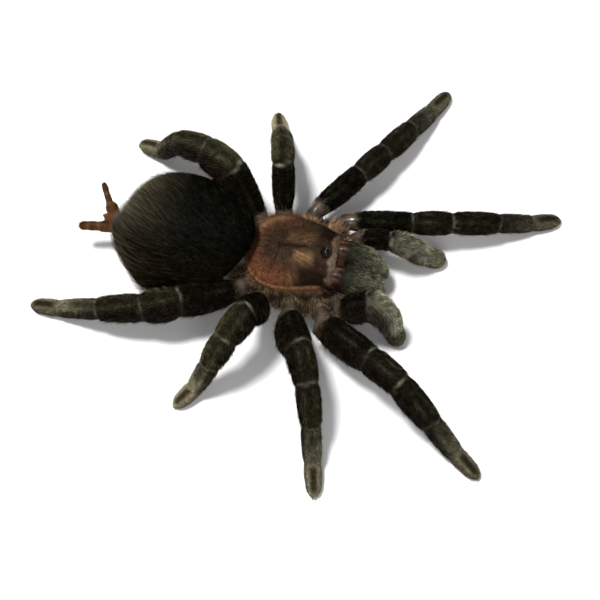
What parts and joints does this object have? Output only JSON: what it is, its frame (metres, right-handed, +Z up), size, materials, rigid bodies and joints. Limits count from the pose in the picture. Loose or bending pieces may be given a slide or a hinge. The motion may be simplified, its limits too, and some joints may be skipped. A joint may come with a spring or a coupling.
{
  "type": "tarantula",
  "caption": "Life-size tarantula as a still model at rest, with spread legs, short feelers, an egg-shaped abdomen and a coat of fine bristles.",
  "frame": {"origin": "middle of the bounding box's footprint, on the floor", "axes": "+Z up from the floor. The head faces -Y and the abdomen +Y. The animal's left side is +X and its right side -X."},
  "size_m": [0.1018, 0.1104, 0.0218],
  "materials": {
    "skin": "matte skin under a dense coat of dark olive bristles",
    "carapace": "satin shell with a short coppery coat",
    "underside": "matte brown skin",
    "velvet": "short grey-green velvet of hairs",
    "horn": "polished black horn",
    "eyes": "glossy dark eyes",
    "spinnerets": "furrowed russet skin with short hairs"
  },
  "bodies": {
    "root": {"abdomen": "skin", "carapace": "carapace", "sternum": "underside", "pedicel": "underside", "eye_mound": "eyes", "chelicera_left": "velvet", "fang_left": "horn", "chelicera_right": "velvet", "fang_right": "horn", "leg_1_left_coxa": "underside", "leg_1_left_femur": "skin", "leg_1_left_patella": "skin", "leg_1_left_tibia": "skin", "leg_1_left_foot": "skin", "leg_1_right_coxa": "underside", "leg_1_right_femur": "skin", "leg_1_right_patella": "skin", "leg_1_right_tibia": "skin", "leg_1_right_foot": "skin", "leg_2_left_coxa": "underside", "leg_2_left_femur": "skin", "leg_2_left_patella": "skin", "leg_2_left_tibia": "skin", "leg_2_left_foot": "skin", "leg_2_right_coxa": "underside", "leg_2_right_femur": "skin", "leg_2_right_patella": "skin", "leg_2_right_tibia": "skin", "leg_2_right_foot": "skin", "leg_3_left_coxa": "underside", "leg_3_left_femur": "skin", "leg_3_left_patella": "skin", "leg_3_left_tibia": "skin", "leg_3_left_foot": "skin", "leg_3_right_coxa": "underside", "leg_3_right_femur": "skin", "leg_3_right_patella": "skin", "leg_3_right_tibia": "skin", "leg_3_right_foot": "skin", "leg_4_left_coxa": "underside", "leg_4_left_femur": "skin", "leg_4_left_patella": "skin", "leg_4_left_tibia": "skin", "leg_4_left_foot": "skin", "leg_4_right_coxa": "underside", "leg_4_right_femur": "skin", "leg_4_right_patella": "skin", "leg_4_right_tibia": "skin", "leg_4_right_foot": "skin", "palp_left_coxa": "underside", "palp_left_femur": "skin", "palp_left_shin": "skin", "palp_left_tarsus": "skin", "palp_right_coxa": "underside", "palp_right_femur": "skin", "palp_right_shin": "skin", "palp_right_tarsus": "skin", "spinneret_left": "spinnerets", "spinneret_right": "spinnerets", "spinnerets_short": "spinnerets"}
  },
  "joints": []
}
